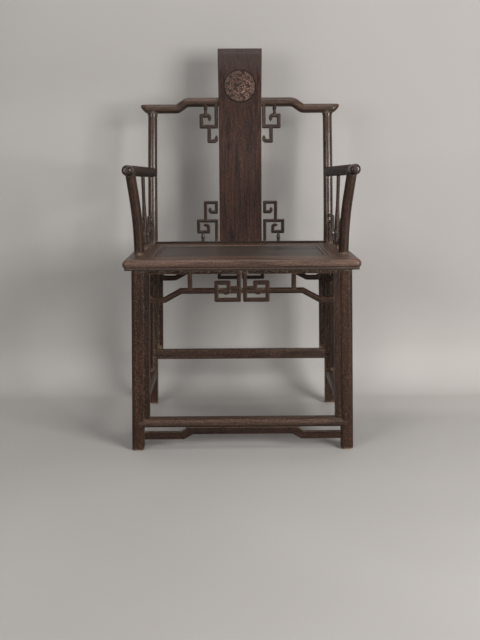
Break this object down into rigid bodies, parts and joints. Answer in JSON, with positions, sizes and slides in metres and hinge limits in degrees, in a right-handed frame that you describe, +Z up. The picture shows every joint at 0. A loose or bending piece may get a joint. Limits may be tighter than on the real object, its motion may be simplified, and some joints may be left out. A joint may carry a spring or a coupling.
{
  "type": "armchair",
  "caption": "Yoke-back wooden armchair with splayed legs, panel seat, key frets, stepped crest rail and a tall scroll-topped splat.",
  "frame": {"origin": "on the floor under the middle of the chair's bounding box", "axes": "+Z up; the chair faces -Y; +X is to the viewer's right when the chair is seen from the front"},
  "size_m": [0.6126, 0.5312, 1.0789],
  "materials": {
    "seat_wood": "satin",
    "frame_wood": "satin",
    "rail_wood": "satin",
    "splat_wood": "satin",
    "fret_wood": "satin",
    "worn_foot": "satin"
  },
  "bodies": {
    "root": {"back_apron": "frame_wood", "back_humpback_rail": "frame_wood", "back_key_frets": "fret_wood", "back_left_leg": "frame_wood", "back_left_leg_strip": "frame_wood", "back_right_leg": "frame_wood", "back_right_leg_strip": "frame_wood", "back_stretcher": "frame_wood", "back_struts": "frame_wood", "crest_rail": "rail_wood", "foot_pads": "worn_foot", "front_apron": "frame_wood", "front_foot_strip": "frame_wood", "front_humpback_rail": "frame_wood", "front_key_frets": "fret_wood", "front_left_leg": "frame_wood", "front_left_leg_strip": "frame_wood", "front_right_leg": "frame_wood", "front_right_leg_strip": "frame_wood", "front_stretcher": "frame_wood", "front_struts": "frame_wood", "left_apron": "frame_wood", "left_arm": "rail_wood", "left_arm_post": "rail_wood", "left_front_side_fret": "fret_wood", "left_humpback_rail": "frame_wood", "left_key_frets": "fret_wood", "left_left_leg_strip": "frame_wood", "left_rear_side_fret": "fret_wood", "left_right_leg_strip": "frame_wood", "left_spindle": "rail_wood", "left_stretcher": "frame_wood", "left_struts": "frame_wood", "lower_left_fret": "fret_wood", "lower_right_fret": "fret_wood", "right_apron": "frame_wood", "right_arm": "rail_wood", "right_arm_post": "rail_wood", "right_front_side_fret": "fret_wood", "right_humpback_rail": "frame_wood", "right_key_frets": "fret_wood", "right_left_leg_strip": "frame_wood", "right_rear_side_fret": "fret_wood", "right_right_leg_strip": "frame_wood", "right_spindle": "rail_wood", "right_stretcher": "frame_wood", "right_struts": "frame_wood", "seat_back_rail": "seat_wood", "seat_back_strip": "seat_wood", "seat_front_rail": "seat_wood", "seat_left_batten": "seat_wood", "seat_left_rail": "seat_wood", "seat_panel": "seat_wood", "seat_right_batten": "seat_wood", "seat_right_rail": "seat_wood", "splat": "splat_wood", "upper_left_fret": "fret_wood", "upper_right_fret": "fret_wood"}
  },
  "joints": []
}
